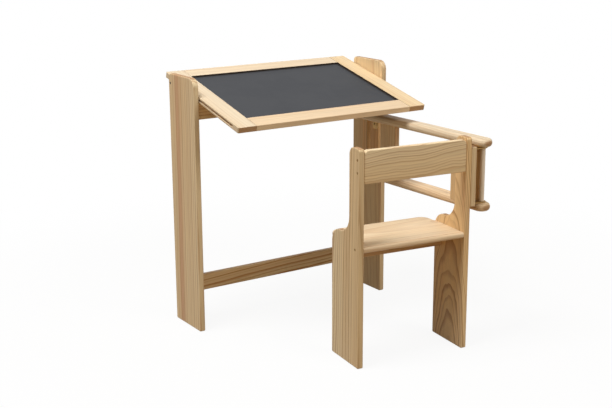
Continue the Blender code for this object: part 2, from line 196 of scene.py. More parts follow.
# Desk legs: two planed pine planks on end, with their upper corners rounded, the front one more than
# the back one, and every arris eased. A bore near the back edge takes the top's peg.
LEG_FRONT_R = 0.025
LEG_BACK_R = 0.012
FOOT_R = 0.004
ARRIS_R = 0.0025
PEG_BORE_R = 0.0038
PEG_Y = 0.2928
PEG_Z = 0.6932
BORE_OVERRUN = 0.01
SMOOTH_UNDER = math.radians(40)
FLAT_UNDER = math.radians(0.2)
HAIR = 0.00002
ALIGNED = 0.9
SPACE = Matrix.Identity(4)


def only(piece):
    """Leaves this piece alone selected and active."""
    bpy.ops.object.select_all(action="DESELECT")
    piece.select_set(True)
    bpy.context.view_layer.objects.active = piece


def middle_of(low, high):
    """The middle between two corners."""
    return [(a + b) / 2 for a, b in zip(low, high)]


def plank(name, low, high):
    """A sawn board between two corners."""
    bpy.ops.object.select_all(action="DESELECT")
    size = [b - a for a, b in zip(low, high)]
    bpy.ops.mesh.primitive_cube_add(size=1, location=middle_of(low, high), scale=size)
    piece = bpy.context.object
    piece.name = piece.data.name = name
    bpy.ops.object.transform_apply(location=True, rotation=True, scale=True)
    return piece


def near(a, b):
    """Whether two places are the same but for rounding."""
    return abs(a - b) < HAIR


def pick_edges(piece, wanted):
    """Goes into edit mode and selects the edges whose middle and direction are wanted."""
    only(piece)
    bpy.ops.object.mode_set(mode="EDIT")
    bpy.ops.mesh.select_mode(type="EDGE")
    bpy.ops.mesh.select_all(action="DESELECT")
    shape = bmesh.from_edit_mesh(piece.data)
    for edge in shape.edges:
        first, second = (vert.co for vert in edge.verts)
        if wanted((first + second) / 2, (second - first).normalized()):
            edge.select_set(True)
    bmesh.update_edit_mesh(piece.data)


def round_edges(piece, radius, steps, wanted):
    """Works the wanted edges round."""
    pick_edges(piece, wanted)
    bpy.ops.mesh.bevel(offset=radius, segments=steps, profile=0.5, affect="EDGES")
    bpy.ops.object.mode_set(mode="OBJECT")


def ease(piece, radius, steps=4):
    """Eases every arris that is still sharp."""
    only(piece)
    bevel = piece.modifiers.new("arris", "BEVEL")
    bevel.width = radius
    bevel.segments = steps
    bevel.limit_method = "ANGLE"
    bevel.angle_limit = SMOOTH_UNDER
    bevel.use_clamp_overlap = False
    bpy.ops.object.modifier_apply(modifier=bevel.name)


def rod(name, radius, start, end, sides=32):
    """A round rod between two points."""
    bpy.ops.object.select_all(action="DESELECT")
    start, end = Vector(start), Vector(end)
    bpy.ops.mesh.primitive_cylinder_add(
        vertices=sides,
        radius=radius,
        depth=(end - start).length,
        location=(start + end) / 2,
        rotation=(end - start).to_track_quat("Z", "Y").to_euler(),
    )
    piece = bpy.context.object
    piece.name = piece.data.name = name
    bpy.ops.object.transform_apply(location=True, rotation=True, scale=True)
    return piece


def join_or_cut(piece, tool, operation="DIFFERENCE"):
    """Cuts a tool's shape out of a piece, or joins it on, and takes the tool away."""
    only(piece)
    work = piece.modifiers.new("work", "BOOLEAN")
    work.operation = operation
    work.solver = "MANIFOLD"
    work.object = tool
    bpy.ops.object.modifier_apply(modifier=work.name)
    bpy.data.objects.remove(tool, do_unlink=True)
    bpy.ops.object.mode_set(mode="EDIT")
    bpy.ops.mesh.select_all(action="SELECT")
    bpy.ops.mesh.remove_doubles(threshold=HAIR)
    bpy.ops.mesh.dissolve_degenerate(threshold=HAIR)
    bpy.ops.mesh.dissolve_limited(angle_limit=FLAT_UNDER)
    bpy.ops.object.mode_set(mode="OBJECT")


def copy_of(piece, name, shift=(0, 0, 0)):
    """A copy with a mesh of its own, moved by a shift."""
    only(piece)
    bpy.ops.object.duplicate()
    twin = bpy.context.object
    twin.name = twin.data.name = name
    bpy.ops.transform.translate(value=shift)
    bpy.ops.object.transform_apply(location=True, rotation=True, scale=True)
    return twin


def set_in(piece, place):
    """Shades a shaped piece smooth between its arrises, splits the faces that cuts have left with more than
    four sides, and sets the piece in its place on the object."""
    only(piece)
    bpy.ops.object.shade_smooth_by_angle(angle=SMOOTH_UNDER)
    flat = piece.modifiers.new("flat", "WEIGHTED_NORMAL")
    flat.keep_sharp = True
    bpy.ops.object.modifier_apply(modifier=flat.name)
    split = piece.modifiers.new("split", "TRIANGULATE")
    split.min_vertices = 5
    split.keep_custom_normals = True
    bpy.ops.object.modifier_apply(modifier=split.name)
    piece.matrix_world = place
    bpy.ops.object.transform_apply(location=True, rotation=True, scale=True)


def fit(piece, material, body, slot, *nodes):
    """Gives a piece its finish, its body and the nodes that it stands for."""
    piece.data.materials.clear()
    piece.data.materials.append(material)
    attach(piece, body)
    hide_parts(*nodes)


# Sawn and planed Scots pine under clear satin lacquer. Growth rings about a pith that lies outside the
# board give the eye amber latewood lines, straight on quartered faces and arched where the pith leans,
# brown end grain, pinkish heartwood bands and a soft sheen.
PINE_PALE = "#F3D9AE"
PINE_HONEY = "#E8C593"
PINE_LATE = "#AE7438"
PINE_HEART = "#CB8B68"
PINE_END = "#A87A4E"
AXES = {"X": Vector((1, 0, 0)), "Y": Vector((0, 1, 0)), "Z": Vector((0, 0, 1))}


def pine(
    name,
    middle,
    along,
    face,
    pith,
    lean=(0.0, 0.0),
    ring=0.008,
    seed=0.0,
    place=SPACE,
    pale=PINE_PALE,
    honey=PINE_HONEY,
    late=PINE_LATE,
    lines=0.62,
    sway=0.010,
    heart=0.35,
    band=(0.0, 0.010, 0.0),
    waves=2.5,
):
    """Pine for one board: its middle, the axis of its grain and of its wide face in the frame that it
    was made in, where the pith lies across and through the board, with its lean in metres a metre, and a
    band of heartwood: its place across the board from the pith, its half width and its strength. waves is
    how often in a metre the grain wanders."""
    w = AXES[face]
    v = w.cross(AXES[along])
    pith_at = Vector(middle) + v * pith[0] + w * pith[1]
    u = (AXES[along] + v * lean[0] + w * lean[1]).normalized()
    v = w.cross(u).normalized()
    w = u.cross(v)
    log = Matrix((u, v, w)).to_4x4() @ Matrix.Translation(-pith_at) @ place.inverted()
    grain = (place.to_3x3() @ AXES[along]).normalized()

    material, tree, shader = new_finish(name)
    spot = add_node(tree, "ShaderNodeTexCoord").outputs
    trunk = add_node(
        tree,
        "ShaderNodeMapping",
        {"Vector": spot["Object"], "Location": log.to_translation(), "Rotation": log.to_euler()},
    ).outputs[0]

    # The trunk's slow wander: 400 mm long along the grain in a straight board, 70 mm across it.
    slow = add_node(tree, "ShaderNodeVectorMath", {0: trunk, 1: (waves, 14.0, 14.0)}, operation="MULTIPLY")
    wander = add_node(
        tree,
        "ShaderNodeTexNoise",
        {"Vector": slow.outputs[0], "W": seed, "Scale": 1.0, "Detail": 2.5, "Roughness": 0.5},
        noise_dimensions="4D",
    )
    offset = add_node(
        tree, "ShaderNodeVectorMath", {0: wander.outputs["Color"], 1: (0.5, 0.5, 0.5)}, operation="SUBTRACT"
    )
    moved = add_node(
        tree,
        "ShaderNodeVectorMath",
        {0: offset.outputs[0], 1: (0.0, 2 * sway, 2 * sway), 2: trunk},
        operation="MULTIPLY_ADD",
    )
    section = add_node(
        tree, "ShaderNodeVectorMath", {0: moved.outputs[0], 1: (0, 1, 1)}, operation="MULTIPLY"
    )
    radius = add_node(tree, "ShaderNodeVectorMath", {0: section.outputs[0]}, operation="LENGTH")

    # Yearly rings of uneven width: pale earlywood darkens slowly to latewood and ends in a sharp line.
    years = add_node(tree, "ShaderNodeMath", {0: radius.outputs["Value"], 1: ring}, operation="DIVIDE")
    season = add_node(
        tree,
        "ShaderNodeTexNoise",
        {"W": years.outputs[0], "Scale": 0.41, "Detail": 1.0},
        noise_dimensions="1D",
    )
    rings = add_node(
        tree,
        "ShaderNodeMath",
        {0: season.outputs["Fac"], 1: 1.7, 2: years.outputs[0]},
        operation="MULTIPLY_ADD",
    )
    part = add_node(tree, "ShaderNodeMath", {0: rings.outputs[0]}, operation="FRACT")
    year = add_node(tree, "ShaderNodeMath", {0: rings.outputs[0]}, operation="FLOOR")
    rise = add_node(
        tree,
        "ShaderNodeMapRange",
        {"Value": part.outputs[0], "From Min": 0.42, "From Max": 0.88},
        interpolation_type="SMOOTHSTEP",
    )
    stop = add_node(
        tree,
        "ShaderNodeMapRange",
        {"Value": part.outputs[0], "From Min": 0.90, "From Max": 1.0, "To Min": 1.0, "To Max": 0.0},
        interpolation_type="SMOOTHSTEP",
    )
    dark = add_node(tree, "ShaderNodeMath", {0: rise.outputs[0], 1: stop.outputs[0]}, operation="MULTIPLY")
    chance = add_node(tree, "ShaderNodeTexWhiteNoise", {"W": year.outputs[0]}, noise_dimensions="1D")
    strength = add_node(
        tree,
        "ShaderNodeMapRange",
        {"Value": chance.outputs["Value"], "To Min": 0.25 * lines, "To Max": lines},
    )
    late_share = add_node(
        tree, "ShaderNodeMath", {0: dark.outputs[0], 1: strength.outputs[0]}, operation="MULTIPLY"
    )

    # Broad bands of paler and deeper wood, 90 mm wide, and heartwood streaks 40 mm wide.
    bands = add_node(tree, "ShaderNodeVectorMath", {0: trunk, 1: (0.7, 11.0, 11.0)}, operation="MULTIPLY")
    tone = add_node(
        tree,
        "ShaderNodeTexNoise",
        {"Vector": bands.outputs[0], "W": seed + 3.7, "Scale": 1.0, "Detail": 1.0},
        noise_dimensions="4D",
    )
    tone_share = add_node(
        tree, "ShaderNodeMapRange", {"Value": tone.outputs["Fac"], "From Min": 0.35, "From Max": 0.65}
    )
    early = add_node(
        tree,
        "ShaderNodeMix",
        {0: tone_share.outputs[0], 6: linear(pale), 7: linear(honey)},
        data_type="RGBA",
    )
    streaks = add_node(tree, "ShaderNodeVectorMath", {0: trunk, 1: (0.9, 26.0, 26.0)}, operation="MULTIPLY")
    core = add_node(
        tree,
        "ShaderNodeTexNoise",
        {"Vector": streaks.outputs[0], "W": seed + 8.1, "Scale": 1.0, "Detail": 1.0},
        noise_dimensions="4D",
    )
    heart_share = add_node(
        tree,
        "ShaderNodeMapRange",
        {"Value": core.outputs["Fac"], "From Min": 0.56, "From Max": 0.74, "To Max": heart},
        interpolation_type="SMOOTHSTEP",
    )
    lane = add_node(tree, "ShaderNodeSeparateXYZ", {0: moved.outputs[0]})
    off_lane = add_node(tree, "ShaderNodeMath", {0: lane.outputs["Y"], 1: band[0]}, operation="SUBTRACT")
    beside = add_node(tree, "ShaderNodeMath", {0: off_lane.outputs[0]}, operation="ABSOLUTE")
    band_share = add_node(
        tree,
        "ShaderNodeMapRange",
        {"Value": beside.outputs[0], "From Min": band[1], "From Max": 0.0, "To Max": band[2]},
        interpolation_type="SMOOTHSTEP",
    )
    heartwood = add_node(
        tree, "ShaderNodeMath", {0: heart_share.outputs[0], 1: band_share.outputs[0]}, operation="MAXIMUM"
    )
    body_wood = add_node(
        tree,
        "ShaderNodeMix",
        {0: heartwood.outputs[0], 6: early.outputs[2], 7: linear(PINE_HEART)},
        data_type="RGBA",
    )
    ringed = add_node(
        tree,
        "ShaderNodeMix",
        {0: late_share.outputs[0], 6: body_wood.outputs[2], 7: linear(late)},
        data_type="RGBA",
    )

    # Fibre flecks, in pine under 1 mm wide, drawn 4 mm wide and 150 mm long so that they show.
    fine = add_node(tree, "ShaderNodeVectorMath", {0: trunk, 1: (7.0, 250.0, 250.0)}, operation="MULTIPLY")
    fibre = add_node(
        tree,
        "ShaderNodeTexNoise",
        {"Vector": fine.outputs[0], "W": seed + 1.3, "Scale": 1.0, "Detail": 3.0, "Roughness": 0.6},
        noise_dimensions="4D",
    )
    fleck = add_node(
        tree,
        "ShaderNodeMapRange",
        {"Value": fibre.outputs["Fac"], "From Min": 0.3, "From Max": 0.7, "To Min": 0.90, "To Max": 1.06},
    )
    flecked = add_node(
        tree,
        "ShaderNodeVectorMath",
        {0: ringed.outputs[2], "Scale": fleck.outputs[0]},
        operation="SCALE",
    )

    # Cut fibre ends drink the lacquer and turn brown.
    facing = add_node(tree, "ShaderNodeVectorMath", {0: spot["Normal"], 1: grain}, operation="DOT_PRODUCT")
    square = add_node(tree, "ShaderNodeMath", {0: facing.outputs["Value"]}, operation="ABSOLUTE")
    end_share = add_node(
        tree,
        "ShaderNodeMapRange",
        {"Value": square.outputs[0], "From Min": 0.72, "From Max": 0.97, "To Max": 0.8},
        interpolation_type="SMOOTHSTEP",
    )
    wood = add_node(
        tree,
        "ShaderNodeMix",
        {0: end_share.outputs[0], 6: flecked.outputs[0], 7: linear(PINE_END)},
        data_type="RGBA",
    )
    sheen = add_node(
        tree,
        "ShaderNodeMapRange",
        {"Value": fibre.outputs["Fac"], "From Min": 0.3, "From Max": 0.7, "To Min": 0.46, "To Max": 0.56},
    )
    relief = add_node(
        tree, "ShaderNodeBump", {"Height": fibre.outputs["Fac"], "Strength": 0.12, "Distance": 0.0004}
    )
    tree.links.new(wood.outputs[2], shader.inputs["Base Color"])
    tree.links.new(sheen.outputs[0], shader.inputs["Roughness"])
    tree.links.new(relief.outputs[0], shader.inputs["Normal"])
    shader.inputs["IOR"].default_value = 1.45
    shader.inputs["Specular IOR Level"].default_value = 0.3
    return material


leg_low, leg_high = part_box("left_leg")
leg = plank("desk_leg_left", leg_low, leg_high)
round_edges(leg, LEG_FRONT_R, 12, lambda m, d: near(m.y, leg_low[1]) and near(m.z, leg_high[2]))
round_edges(leg, LEG_BACK_R, 8, lambda m, d: near(m.y, leg_high[1]) and near(m.z, leg_high[2]))
round_edges(leg, FOOT_R, 4, lambda m, d: abs(d.x) > ALIGNED and near(m.z, leg_low[2]))
ease(leg, ARRIS_R)
bore_start = (leg_low[0] - BORE_OVERRUN, PEG_Y, PEG_Z)
bore_end = (leg_high[0] + BORE_OVERRUN, PEG_Y, PEG_Z)
join_or_cut(leg, rod("peg_bore", PEG_BORE_R, bore_start, bore_end))
far_leg = copy_of(leg, "desk_leg_right", (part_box("right_leg")[0][0] - leg_low[0], 0, 0))
set_in(leg, SPACE)
set_in(far_leg, SPACE)
left_leg_pine = pine(
    "lacquered_pine_left_leg",
    middle_of(leg_low, leg_high),
    along="Z",
    face="X",
    pith=(0.115, -0.02),
    lean=(0.01, 0.02),
    ring=0.009,
    seed=1.0,
    pale="#EED7AF",
    honey="#E3C394",
    heart=0.2,
    band=(-0.1425, 0.022, 0.5),
)
fit(leg, left_leg_pine, "desk", "pine", "left_leg")
right_leg_pine = pine(
    "lacquered_pine_right_leg",
    middle_of(*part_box("right_leg")),
    along="Z",
    face="X",
    pith=(-0.02, 0.09),
    lean=(0.01, 0.04),
    ring=0.009,
    seed=2.0,
    pale="#F4DAAF",
    honey="#EBC591",
    lines=0.32,
    heart=0.25,
)
fit(far_leg, right_leg_pine, "desk", "pine", "right_leg")

# Stretcher and apron: two planed pine rails with eased arrises, glued between the legs, one near the
# floor, one just under the top, which rests on its front edge.
APRON_ARRIS_R = 0.00125

for node, arris, seed, pith, lean, ring, pale, honey, lines in (
    ("lower_stretcher", ARRIS_R, 3.0, (0.075, 0.075), (-0.05, 0.01), 0.0066, "#E5C99B", "#D9B383", 1.0),
    ("apron", APRON_ARRIS_R, 4.0, (0.06, 0.02), (0.02, 0.01), 0.008, "#FAE2B8", "#F2D09C", 0.62),
):
    low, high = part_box(node)
    rail = plank(node + "_board", low, high)
    ease(rail, arris)
    set_in(rail, SPACE)
    rail_pine = pine(
        "lacquered_pine_" + node,
        middle_of(low, high),
        along="X",
        face="Y",
        pith=pith,
        lean=lean,
        ring=ring,
        seed=seed,
        pale=pale,
        honey=honey,
        lines=lines,
    )
    fit(rail, rail_pine, "desk", "pine", node)

# Hinge batten: a short pine board fixed upright to the right leg's inner face, standing proud of the
# leg's front edge. The arm's two steel angles are screwed to it.
SCREW_BORE_R = 0.0023
SCREW_TIP_GAP = 0.0005

low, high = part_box("hinge_batten")
batten = plank("hinge_batten_board", low, high)
ease(batten, ARRIS_R)
for word in ("lower_screw_1", "lower_screw_2", "upper_screw_1", "upper_screw_2"):
    screw_low, screw_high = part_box("leg_bracket_" + word)
    y, z = middle_of(screw_low, screw_high)[1:]
    bore_start = (low[0] - BORE_OVERRUN, y, z)
    bore_end = (screw_high[0] + SCREW_TIP_GAP, y, z)
    join_or_cut(batten, rod("bore", SCREW_BORE_R, bore_start, bore_end))
set_in(batten, SPACE)
batten_pine = pine(
    "lacquered_pine_hinge_batten",
    middle_of(low, high),
    along="Z",
    face="X",
    pith=(0.07, 0.03),
    lean=(0.02, 0.02),
    ring=0.007,
    seed=5.0,
    # The batten's pale, orange tone is painted light on a board that stands in the top's shade.
    pale="#F7DCB0",
    honey="#F0C48C",
    lines=0.4,
)
fit(batten, batten_pine, "desk", "pine", "hinge_batten")

# Top frame: two pine stiles and two rails glued between them, all grooved inside for the blackboard.
# A stopped groove in each stile's outer edge rides on the leg's peg.
TOP_SLOPE = math.radians(13.65)
TOP = Matrix.Translation((0, PEG_Y, PEG_Z)) @ Matrix.Rotation(TOP_SLOPE, 4, "X")
TOP_HALF_W = 0.307
TOP_FRONT = -0.351
TOP_BACK = 0.065
TOP_HALF_T = 0.008
STILE_W = 0.055
FRONT_RAIL_W = 0.054
BACK_RAIL_W = 0.048
JOINT_GAP = 0.0003
JOINT_ARRIS_R = 0.0004
TOP_ARRIS_R = 0.0014
TOP_CORNER_R = 0.005
BOARD_INSERT = 0.0063
BOARD_LOW = -0.0023
BOARD_HIGH = 0.0033
SLOT_DEPTH = 0.009
SLOT_HALF_H = 0.0035
SLOT_FRONT = -0.321
SLOT_BACK = 0.012

opening_x = TOP_HALF_W - STILE_W
opening_front = TOP_FRONT + FRONT_RAIL_W
opening_back = TOP_BACK - BACK_RAIL_W
frame_bars = []


def cut_board_groove(piece):
    """Runs the blackboard's groove through a frame piece."""
    groove = plank(
        "groove",
        (-opening_x - BOARD_INSERT, opening_front - BOARD_INSERT, BOARD_LOW),
        (opening_x + BOARD_INSERT, opening_back + BOARD_INSERT, BOARD_HIGH),
    )
    join_or_cut(piece, groove)


for node, side, seed, pale, honey in (
    ("stile_left", -1, 6.0, "#E8D6B9", "#E5CCA7"),
    ("stile_right", 1, 7.0, "#F0D7AE", "#E7C899"),
):
    inner = side * (opening_x + JOINT_GAP)
    outer = side * TOP_HALF_W
    low = (min(inner, outer), TOP_FRONT, -TOP_HALF_T)
    high = (max(inner, outer), TOP_BACK, TOP_HALF_T)
    stile = plank("top_" + node, low, high)
    round_edges(stile, TOP_CORNER_R, 5, lambda m, d: abs(d.z) > ALIGNED and near(m.x, outer))
    round_edges(stile, TOP_ARRIS_R, 3, lambda m, d: not near(m.x, inner))
    ease(stile, JOINT_ARRIS_R, 2)
    slot_low = (outer - SLOT_DEPTH, SLOT_FRONT, -SLOT_HALF_H)
    slot_high = (outer + SLOT_DEPTH, SLOT_BACK, SLOT_HALF_H)
    join_or_cut(stile, plank("slot", slot_low, slot_high))
    cut_board_groove(stile)
    set_in(stile, TOP)
    stile_pine = pine(
        "lacquered_pine_" + node,
        middle_of(low, high),
        along="Y",
        face="Z",
        pith=(0.05, -0.05),
        lean=(0.02, 0.02),
        ring=0.007,
        seed=seed,
        place=TOP,
        pale=pale,
        honey=honey,
        lines=0.22,
        heart=0.15,
    )
    fit(stile, stile_pine, "tabletop", "pine", node)
    frame_bars.append(stile)

for node, front, back, seed, pale, honey in (
    ("front_rail", TOP_FRONT, opening_front, 8.0, "#EFDBBD", "#E6C8A0"),
    ("back_rail", opening_back, TOP_BACK, 9.0, "#F3E6D0", "#EAD3B1"),
):
    low = (-opening_x + JOINT_GAP, front, -TOP_HALF_T)
    high = (opening_x - JOINT_GAP, back, TOP_HALF_T)
    rail = plank("top_" + node, low, high)
    round_edges(rail, TOP_ARRIS_R, 3, lambda m, d: abs(d.x) > ALIGNED)
    ease(rail, JOINT_ARRIS_R, 2)
    cut_board_groove(rail)
    set_in(rail, TOP)
    rail_pine = pine(
        "lacquered_pine_" + node,
        middle_of(low, high),
        along="X",
        face="Z",
        pith=(0.04, -0.04),
        lean=(0.015, 0.02),
        ring=0.007,
        seed=seed,
        place=TOP,
        pale=pale,
        honey=honey,
        lines=0.22,
        heart=0.15,
    )
    fit(rail, rail_pine, "tabletop", "pine", node)
    frame_bars.append(rail)

# Blackboard: a fibreboard panel sprayed with matt slate-grey board paint, slid into the frame's groove
# before the last rail was glued on.
BOARD_GAP = 0.0003
BOARD_ARRIS_R = 0.0006
WALL_SHADE_W = 0.007

tongue = BOARD_INSERT - BOARD_GAP
panel = plank(
    "blackboard_panel",
    (-opening_x - tongue, opening_front - tongue, BOARD_LOW + BOARD_GAP),
    (opening_x + tongue, opening_back + tongue, BOARD_HIGH - BOARD_GAP),
)
ease(panel, BOARD_ARRIS_R, 2)
set_in(panel, TOP)

# Board paint is a flat, slightly gritty coat: the eye gets an even dark grey with faint clouds where
# chalk was wiped, 120 mm across, and a dry, wide sheen towards the light. Its 1 mm grit is drawn 4 mm wide.
# Within 7 mm of the opening's walls the board darkens to near black: painted shade from the frame's walls.
slate, tree, shader = new_finish("matt_slate_board_paint")
spot = add_node(tree, "ShaderNodeTexCoord").outputs["Object"]
clouds = add_node(
    tree, "ShaderNodeTexNoise", {"Vector": spot, "Scale": 8.0, "Detail": 4.0, "Roughness": 0.55}
)
dust = add_node(
    tree,
    "ShaderNodeMapRange",
    {"Value": clouds.outputs["Fac"], "From Min": 0.35, "From Max": 0.7},
    interpolation_type="SMOOTHSTEP",
)
paint = add_node(
    tree,
    "ShaderNodeMix",
    {0: dust.outputs[0], 6: linear("#26282D"), 7: linear("#2C2E33")},
    data_type="RGBA",
)
to_top = TOP.inverted()
on_board = add_node(
    tree,
    "ShaderNodeMapping",
    {"Vector": spot, "Location": to_top.to_translation(), "Rotation": to_top.to_euler()},
)
from_middle = add_node(
    tree,
    "ShaderNodeVectorMath",
    {0: on_board.outputs[0], 1: (0, (opening_front + opening_back) / 2, 0)},
    operation="SUBTRACT",
)
aside = add_node(tree, "ShaderNodeVectorMath", {0: from_middle.outputs[0]}, operation="ABSOLUTE")
inside = add_node(
    tree,
    "ShaderNodeVectorMath",
    {0: (opening_x, (opening_back - opening_front) / 2, 0), 1: aside.outputs[0]},
    operation="SUBTRACT",
)
to_wall = add_node(tree, "ShaderNodeSeparateXYZ", {0: inside.outputs[0]})
# Painted shade: the board darkens to near black close to the opening's walls.
nearest = add_node(
    tree, "ShaderNodeMath", {0: to_wall.outputs["X"], 1: to_wall.outputs["Y"]}, operation="MINIMUM"
)
painted_wall_shade = add_node(
    tree,
    "ShaderNodeMapRange",
    {"Value": nearest.outputs[0], "From Min": WALL_SHADE_W, "From Max": WALL_SHADE_W / 2},
    interpolation_type="SMOOTHSTEP",
)
board_tone = add_node(
    tree,
    "ShaderNodeMix",
    {0: painted_wall_shade.outputs[0], 6: paint.outputs[2], 7: linear("#17120F")},
    data_type="RGBA",
)
grit = add_node(tree, "ShaderNodeTexNoise", {"Vector": spot, "Scale": 250.0, "Detail": 2.0})
dry = add_node(tree, "ShaderNodeMapRange", {"Value": dust.outputs[0], "To Min": 0.60, "To Max": 0.70})
tooth = add_node(
    tree, "ShaderNodeBump", {"Height": grit.outputs["Fac"], "Strength": 0.10, "Distance": 0.0003}
)
tree.links.new(board_tone.outputs[2], shader.inputs["Base Color"])
tree.links.new(dry.outputs[0], shader.inputs["Roughness"])
tree.links.new(tooth.outputs[0], shader.inputs["Normal"])
shader.inputs["IOR"].default_value = 1.48
fit(panel, slate, "tabletop", "blackboard", "blackboard")

# The walls of the opening are coloured brown-black, in patches about 17 mm wide: painted shade
# in the shallow recess above the board.
WALL_REACH = 0.001
WALL_FOOT = 0.0001
UPRIGHT = 0.5

recess_wall_shade, tree, shader = new_finish("painted_shade_on_opening_walls")
spot = add_node(tree, "ShaderNodeTexCoord").outputs["Object"]
shade_patches = add_node(tree, "ShaderNodeTexNoise", {"Vector": spot, "Scale": 60.0, "Detail": 3.0})
brown = add_node(
    tree,
    "ShaderNodeMix",
    {0: shade_patches.outputs["Fac"], 6: linear("#241912"), 7: linear("#3B2A1E")},
    data_type="RGBA",
)
tree.links.new(brown.outputs[2], shader.inputs["Base Color"])
shader.inputs["Roughness"].default_value = 0.7
shader.inputs["IOR"].default_value = 1.48
# The opening's walls get the brown-black painted shade.
for bar in frame_bars:
    bar.data.materials.append(recess_wall_shade)
    for wall in bar.data.polygons:
        at = to_top @ wall.center
        out = to_top.to_3x3() @ wall.normal
        across = abs(at.x) < opening_x + WALL_REACH
        along = opening_front - WALL_REACH < at.y < opening_back + WALL_REACH
        if across and along and at.z > BOARD_HIGH - WALL_FOOT and abs(out.z) < UPRIGHT:
            wall.material_index = 1

# Pegs: a steel pin pressed through each leg, turned down to a neck at the stile, with a flat shoe on its
# inner end that slides in the stile's groove. The pin's end shows as a dark dot on the leg's outer face.
PEG_R = 0.0035
PEG_SIDES = 24
PEG_OUT = 0.3247
PIN_IN = 0.3073
PIN_ARRIS_R = 0.0004
SHOE_OUT = 0.3067
SHOE_IN = 0.2983
SHOE_HALF_L = 0.009
SHOE_HALF_H = 0.0032
SHOE_ARRIS_R = 0.0012
PIN_NECK_R = 0.003
PIN_NECK_IN = SHOE_IN + 0.001
PIN_NECK_OUT = PIN_IN + 0.002

# Turned steel with a thin black oxide: a dark grey-brown metal with a low oily shine, worn to a duller
# grey in patches about 3 mm wide.
black_steel, tree, shader = new_finish("black_oxide_turned_steel")
spot = add_node(tree, "ShaderNodeTexCoord").outputs["Object"]
patchy = add_node(tree, "ShaderNodeTexNoise", {"Vector": spot, "Scale": 300.0, "Detail": 3.0})
oxide = add_node(
    tree,
    "ShaderNodeMix",
    {0: patchy.outputs["Fac"], 6: linear("#39332E"), 7: linear("#5C544B")},
    data_type="RGBA",
)
worn = add_node(tree, "ShaderNodeMapRange", {"Value": patchy.outputs["Fac"], "To Min": 0.35, "To Max": 0.6})
tree.links.new(oxide.outputs[2], shader.inputs["Base Color"])
tree.links.new(worn.outputs[0], shader.inputs["Roughness"])
shader.inputs["Metallic"].default_value = 1.0

for node, side in (("peg_left", -1), ("peg_right", 1)):
    peg = rod(node + "_pin", PEG_R, (side * PIN_IN, 0, 0), (side * PEG_OUT, 0, 0), PEG_SIDES)
    ease(peg, PIN_ARRIS_R, 2)
    neck_ends = (side * PIN_NECK_IN, 0, 0), (side * PIN_NECK_OUT, 0, 0)
    join_or_cut(peg, rod("neck", PIN_NECK_R, *neck_ends, PEG_SIDES), "UNION")
    left, right = sorted((side * SHOE_IN, side * SHOE_OUT))
    shoe = plank("shoe", (left, -SHOE_HALF_L, -SHOE_HALF_H), (right, SHOE_HALF_L, SHOE_HALF_H))
    round_edges(shoe, SHOE_ARRIS_R, 3, lambda m, d: abs(d.x) > ALIGNED)
    join_or_cut(peg, shoe, "UNION")
    set_in(peg, TOP)
    fit(peg, black_steel, "pegs", "steel", node)

# Swing arm boards: two thick pine boards of one shape, one above the other, with full round ends and
# almost full round edges. Both are bored from inside for the pivot dowels.
ARM_PIVOT = (0.265, 0.1628, 0)
ARM_TURN = math.radians(1.0)
ARM = Matrix.Translation(ARM_PIVOT) @ Matrix.Rotation(ARM_TURN, 4, "Z")
ARM_LENGTH = 0.497
ARM_HALF_W = 0.0235
ARM_NOSE_R = 0.0108
ARM_END_R = 0.02345
ARM_UPPER_Z = 0.5494
ARM_UPPER_TOP = 0.5724
ARM_LOWER_Z = 0.375
ARM_LOWER_TOP = 0.398
DOWEL_R = 0.0068
DOWEL_DEPTH = 0.012

dowel_low = ARM_LOWER_TOP - DOWEL_DEPTH
dowel_high = ARM_UPPER_Z + DOWEL_DEPTH
arm_low = (-ARM_HALF_W, -ARM_LENGTH - ARM_HALF_W, ARM_UPPER_Z)
arm_high = (ARM_HALF_W, ARM_HALF_W, ARM_UPPER_TOP)
upper_board = plank("arm_upper_board_rail", arm_low, arm_high)
round_edges(upper_board, ARM_END_R, 16, lambda m, d: abs(d.z) > ALIGNED)
ease(upper_board, ARM_NOSE_R, 8)
lower_board = copy_of(upper_board, "arm_lower_board_rail", (0, 0, ARM_LOWER_Z - ARM_UPPER_Z))
for node, board, middle_z, seed, pale, honey in (
    ("arm_upper_board", upper_board, (ARM_UPPER_Z + ARM_UPPER_TOP) / 2, 11.0, "#F3E5CF", "#EBD8B9"),
    ("arm_lower_board", lower_board, (ARM_LOWER_Z + ARM_LOWER_TOP) / 2, 12.0, "#F6DAB4", "#EFCD9E"),
):
    for y in (0.0, -ARM_LENGTH):
        bore_start = (0, y, dowel_low - JOINT_GAP)
        bore_end = (0, y, dowel_high + JOINT_GAP)
        join_or_cut(board, rod("bore", DOWEL_R + JOINT_GAP, bore_start, bore_end))
    set_in(board, ARM)
    board_pine = pine(
        "lacquered_pine_" + node,
        (0, -ARM_LENGTH / 2, middle_z),
        along="Y",
        face="Z",
        pith=(0.03, -0.05),
        lean=(0.02, 0.02),
        ring=0.007,
        seed=seed,
        place=ARM,
        pale=pale,
        honey=honey,
        lines=0.4,
    )
    fit(board, board_pine, "swing_arm", "pine", node)

# Arm posts: two short pine boards on edge, glued between the arm's boards, that make the arm one stiff
# frame. The back one is coloured paler, painted light against the shade under the top; the front one darker,
# painted shade where it shows between the chair's hinge plank and the front dowel.
POST_HALF_T = 0.008
BACK_POST = (0.067, 0.138)
FRONT_POST = (0.393, 0.4845)

